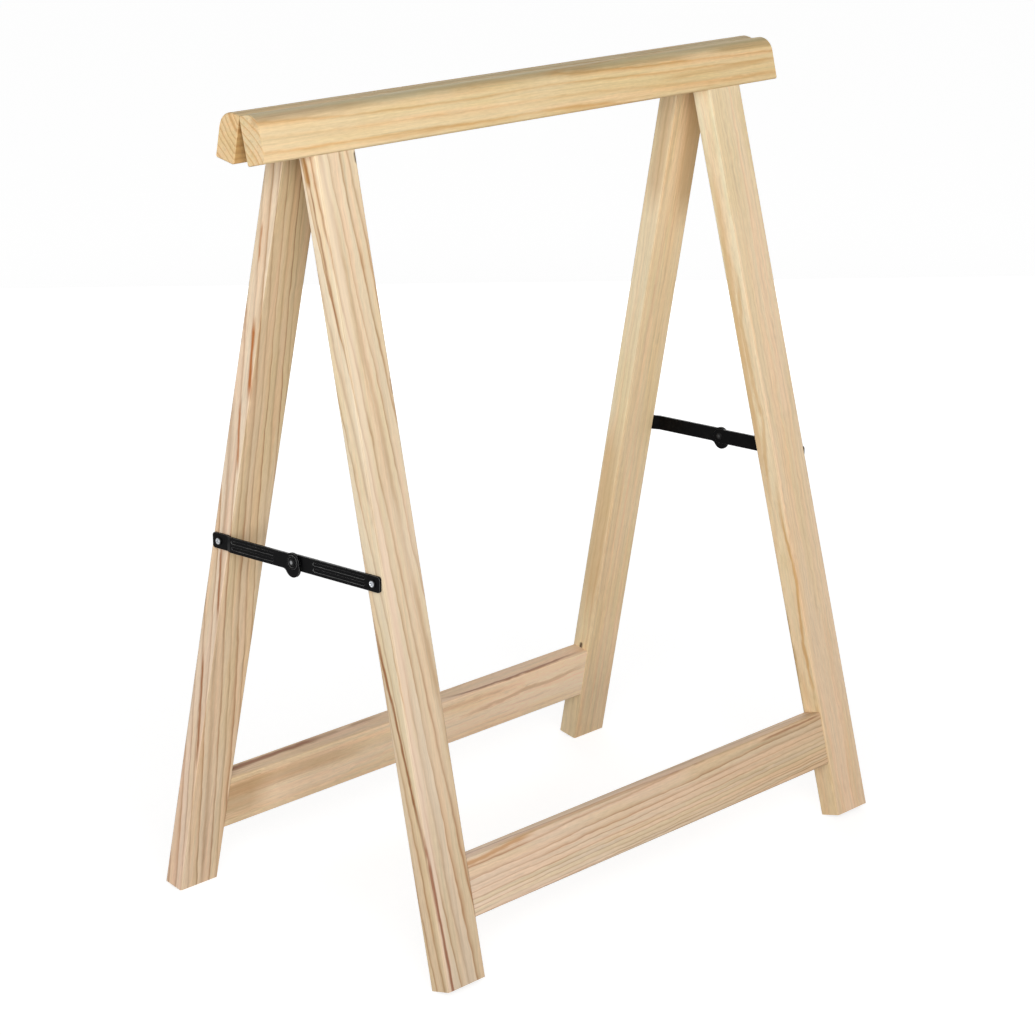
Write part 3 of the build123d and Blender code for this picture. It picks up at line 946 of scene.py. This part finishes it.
hinge_zinc = zinc("hinge_zinc", seen(205, 206, 206), stretch=(60, 2200, 2200))
screw_zinc = zinc("screw_zinc", seen(208, 210, 214), stretch=(900, 900, 900))
for end in ("left", "right"):
    hinge_zinc.dress(end + "_hinge_back_leaf", end + "_hinge_front_leaf", end + "_hinge_pin")
print("plated with", hinge_zinc.material.name, "and", screw_zinc.material.name)

# %% [markdown]
# ## Surfaces turned round an axis
# Screws and rivets are turned pieces. A grid of points does for all of them: rows follow an outline from
# the middle of the head to the far end, columns go round the axis. Both ends close in one point, so the
# mesh has no holes. The columns crowd together at every quarter turn, where the edges of a driver's cross
# need them.

# %% Closed mesh from turned grids
columns = 80
quarters = 4
crowding = 0.7
crease_angle = math.radians(40)
turns = np.linspace(0.0, 1.0, columns, endpoint=False)
turns = turns - crowding * np.sin(quarters * math.tau * turns) / (quarters * math.tau)


def turned_faces(rows, first):
    """Faces of a grid of rows and columns whose point numbers start at first, with a fan at each end.

    Point (row, column) has number first + row * columns + column, and the two end points follow the grid."""
    here = first + np.arange(rows * columns).reshape(rows, columns)
    beside = np.roll(here, -1, axis=1)
    quads = np.stack([here[:-1], beside[:-1], beside[1:], here[1:]], axis=-1).reshape(-1, 4)
    ends = first + rows * columns + np.array([0, 1])
    near_fan = np.stack([np.full(columns, ends[0]), beside[0], here[0]], axis=-1)
    far_fan = np.stack([np.full(columns, ends[1]), here[-1], beside[-1]], axis=-1)
    return quads.tolist() + near_fan.tolist() + far_fan.tolist()


def turned_piece(name, grids, finish):
    """One object from grids of points, each closed at both ends by the mean of its end row."""
    points, faces, count = [], [], 0
    for grid in grids:
        ends = grid[[0, -1]].mean(axis=1)
        faces += turned_faces(len(grid), count)
        points.append(np.concatenate([grid.reshape(-1, 3), ends]))
        count += len(points[-1])
    mesh = bpy.data.meshes.new(name)
    mesh.from_pydata(np.concatenate(points).tolist(), [], faces)
    mesh.shade_smooth()
    mesh.set_sharp_from_angle(angle=crease_angle)
    mesh.materials.append(finish.material)
    return linked(name, mesh)


def placed(grid, start, axis, roll):
    """A grid drawn along +Z in millimetres, rolled by a part of a turn and set at a start along an axis."""
    aim = Vector(axis).to_track_quat("Z", "Y").to_matrix()
    basis = np.array(aim @ Matrix.Rotation(roll * math.tau, 3, "Z"))
    return np.asarray(start) + millimetre * grid @ basis.T


print("a turned row has", columns, "points")

# %% [markdown]
# ## Screws
# Round-headed screws hold the stays and countersunk ones the hinges. Both are one formula: an outline gives
# radius and depth, a helical ridge makes the thread, and two crossing slots sink the middle of the head for
# the driver. A head's outline is given as shares of its radius and depth.

# %% Screw shape
rows_to_pitch = 7
last_gap = 0.05
core_share = 0.72
point_radius = 0.06
point_slope = 0.45
ridge_share = 0.30
ridge_slope = 2.4
slot_half = 0.12
slot_wall = 0.08
slot_rise = 0.5
slot_depth = 0.55
dome_share = 0.86


def ease(value):
    """Smooth step from 0 to 1."""
    value = np.clip(value, 0.0, 1.0)
    return value * value * (3.0 - 2.0 * value)


def screw_grid(head_rows, length, head_radius, head_depth, shank, neck, pitch, slot_reach):
    """Points of a screw along +Z with the top of its head at 0, in millimetres.

    The outline runs over the head rows, down a plain neck, along the threaded shank and into a point. The
    thread's ridge is highest where depth over pitch less the turn is half past a whole number. The recess is
    deep where the smaller of the two offsets from the axis is within a slot's half width, and slopes up to
    nothing at the slot's reach."""
    depths = np.arange(neck, length - last_gap, pitch / rows_to_pitch)
    core = np.where(depths < neck + pitch, shank, core_share * shank)
    core = np.minimum(core, point_radius + point_slope * (length - depths))
    ridge = np.clip(shank - core, 0.0, ridge_share * shank)
    head = np.asarray(head_rows)
    radius = np.concatenate([head[:, 0] * head_radius, [shank], core])[:, None]
    depth = np.concatenate([head[:, 1] * head_depth, [head_depth], depths])[:, None]
    crest = np.concatenate([np.zeros(len(head) + 1), ridge])[:, None]

    phase = (depth / pitch - turns) % 1.0
    wide = radius + crest * np.clip(1.0 - ridge_slope * np.abs(phase - 0.5), 0.0, 1.0)
    across, up = wide * np.cos(math.tau * turns), wide * np.sin(math.tau * turns)
    inside = np.minimum(np.abs(across), np.abs(up))
    slot = ease(1.0 - (inside - slot_half * head_radius) / (slot_wall * head_radius))
    slot = slot * ease((slot_reach - wide) / (slot_rise * slot_reach))
    on_head = (np.arange(len(radius)) < len(head))[:, None]
    sunk = depth + np.where(on_head, slot_depth * head_depth * slot, 0.0)
    return np.stack([across, up, sunk], axis=-1)


steps = np.linspace(0.004, 1.0, 36)
bow = steps * np.pi / 2
dome_rows = [*zip(np.sin(bow), dome_share * (1.0 - np.cos(bow))), (1.0, 0.93), (0.97, 1.0)]
flat_rows = [*zip(steps, np.zeros(len(steps))), (1.0, 0.08), (0.78, 0.55), (0.55, 1.0)]
print("rows on a domed head:", len(dome_rows), "and on a flat one:", len(flat_rows))

# %% [markdown]
# ## Worn black screws
# The screws of the stays are blackened like the links. The driver and the folding links rub them bright in
# the middle of the head. A number at each point says how bare the steel is, and the material reads it.

# %% Stay screws
bare_fade = 0.8
far_below = 99.0
round_screw = dict(head_radius=3.5, head_depth=2.2, shank=2.4, neck=6.0, pitch=2.2, slot_reach=2.5)


def worn_coat(name, steel):
    """The black coat, turning into bare steel where the mesh says so."""
    finish = black_coat(name, seen(9, 9, 10), rubbed=seen(20, 20, 20), gloss=0.15)
    coat = finish.shader.inputs["Base Color"].links[0].from_socket
    bare = finish.node("Attribute", attribute_name="bare").outputs["Fac"]
    finish.shade("Base Color", finish.mix(bare, coat, steel))
    finish.shade("Metallic", bare)
    return finish


def wear(piece, grid, reach, deep, most):
    """Write how bare each point is: the most within a reach of the axis on the head's top, nothing below."""
    from_axis = np.concatenate([np.hypot(grid[..., 0], grid[..., 1]).ravel(), [0.0, 0.0]])
    depth = np.concatenate([grid[..., 2].ravel(), [0.0, far_below]])
    share = most * ease((reach - from_axis) / bare_fade) * (depth < deep)
    layer = piece.data.attributes.new("bare", "FLOAT", "POINT")
    layer.data.foreach_set("value", share.astype(np.float32))


def start_and_length(node_name, way):
    """Start of a node that points along X, one way or the other, and its length in millimetres."""
    low, high = (np.array(corner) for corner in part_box(node_name))
    start = (low + high) / 2
    start[0] = low[0] if way > 0 else high[0]
    return start, (high[0] - low[0]) / millimetre


screw_coat = worn_coat("worn_black_screw", seen(190, 193, 197))
for end, inward, roll in (("left", 1.0, 0.06), ("right", -1.0, 0.17)):
    for panel, more in (("back", 0.0), ("front", 0.11)):
        node_name = f"{end}_stay_{panel}_screw"
        start, length = start_and_length(node_name, inward)
        grid = screw_grid(dome_rows, length, **round_screw)
        in_place = placed(grid, start, (inward, 0, 0), roll + more)
        screw = turned_piece(f"{end}_{panel}_round_screw", [in_place], screw_coat)
        wear(screw, grid, reach=3.1, deep=2.0, most=1.0)
        belongs(screw, f"{panel}_panel", node_name)
print("a stay screw is", round(length, 2), "mm long and has", len(screw.data.polygons), "faces")

# %% [markdown]
# ## Hinge screws
# Four screws sit in one CAD node on each rail. Sorted along the rail their corners fall into four heaps,
# and the ends of each heap along the panel's thickness give the head and the point of its screw.

# %% Hinge screws
heap_gap = 5 * millimetre
first_roll = 0.05
next_roll = 0.07
flat_screw = dict(head_radius=3.1, head_depth=1.4, shank=1.7, neck=3.0, pitch=1.5, slot_reach=2.1)


def heaps_along_rail(points):
    """Points split into heaps wherever the next one along X is more than a gap away."""
    ordered = points[np.argsort(points[:, 0])]
    return np.split(ordered, np.flatnonzero(np.diff(ordered[:, 0]) > heap_gap) + 1)


for panel in ("front", "back"):
    node_name = f"{panel}_hinge_screws"
    outward = board_axes(panel + "_left_leg")[1][:, 1]
    grids = []
    for index, heap in enumerate(heaps_along_rail(corner_points(node_name).reshape(-1, 3))):
        middle = (heap.min(axis=0) + heap.max(axis=0)) / 2
        reach = (heap - middle) @ outward
        grid = screw_grid(flat_rows, np.ptp(reach) / millimetre, **flat_screw)
        grids.append(placed(grid, middle + outward * reach.min(), outward, first_roll + next_roll * index))
    screws = turned_piece(f"{panel}_countersunk_screws", grids, screw_zinc)
    belongs(screws, f"{panel}_panel", node_name)
print("hinge screws on a rail:", len(grids), "each", round(np.ptp(reach) / millimetre, 2), "mm long")

# %% [markdown]
# ## Rivets
# The knuckle's rivet is headed by a blow, so its top is a low dome with a small dimple, a shape that only
# needs an outline turned round. Every fold of the stay rubs the coat off its crown, but hardly off its tail
# behind the links.

# %% Rivets
rivet_radius = 3.3
rivet_shank = 2.0
crown_share = 0.85
dimple_depth = 0.22
dimple_width = 0.3 * rivet_radius
rivet_halves = (("head", "back", -1.0, 1.2, 1.0), ("tail", "front", 1.0, 1.1, 0.15))


def rivet_grid(height, length):
    """Points of a rivet along +Z with its crown near 0: a dome with a dimple, a rim and a plain shank.

    The dome is a quarter of an ellipse, and the dimple is a bell curve of the distance from the axis."""
    dome = np.stack([rivet_radius * np.sin(bow), crown_share * height * (1.0 - np.cos(bow))], axis=-1)
    dome[:, 1] += dimple_depth * height * np.exp(-((dome[:, 0] / dimple_width) ** 2))
    rim = [(rivet_radius, 0.95 * height), (0.96 * rivet_radius, height)]
    tail = [(rivet_shank, height), (rivet_shank, length), (0.5 * rivet_shank, length)]
    wide, deep = (part[:, None] for part in np.concatenate([dome, rim, tail]).T)
    turn = math.tau * turns
    return np.stack([wide * np.cos(turn), wide * np.sin(turn), deep * np.ones(columns)], axis=-1)


rivet_coat = worn_coat("worn_black_rivet", seen(148, 149, 150))
for end, outward in (("left", -1.0), ("right", 1.0)):
    for half, panel, side, height, most in rivet_halves:
        node_name = f"{end}_stay_rivet_{half}"
        way = side * outward
        start, length = start_and_length(node_name, way)
        grid = rivet_grid(height, length)
        in_place = placed(grid, start, (way, 0, 0), 0.0)
        rivet = turned_piece(f"{end}_domed_rivet_{half}", [in_place], rivet_coat)
        wear(rivet, grid, reach=2.0, deep=0.5 * height, most=most)
        belongs(rivet, f"{end}_{panel}_link", node_name)
print("a rivet has", len(rivet.data.polygons), "faces")
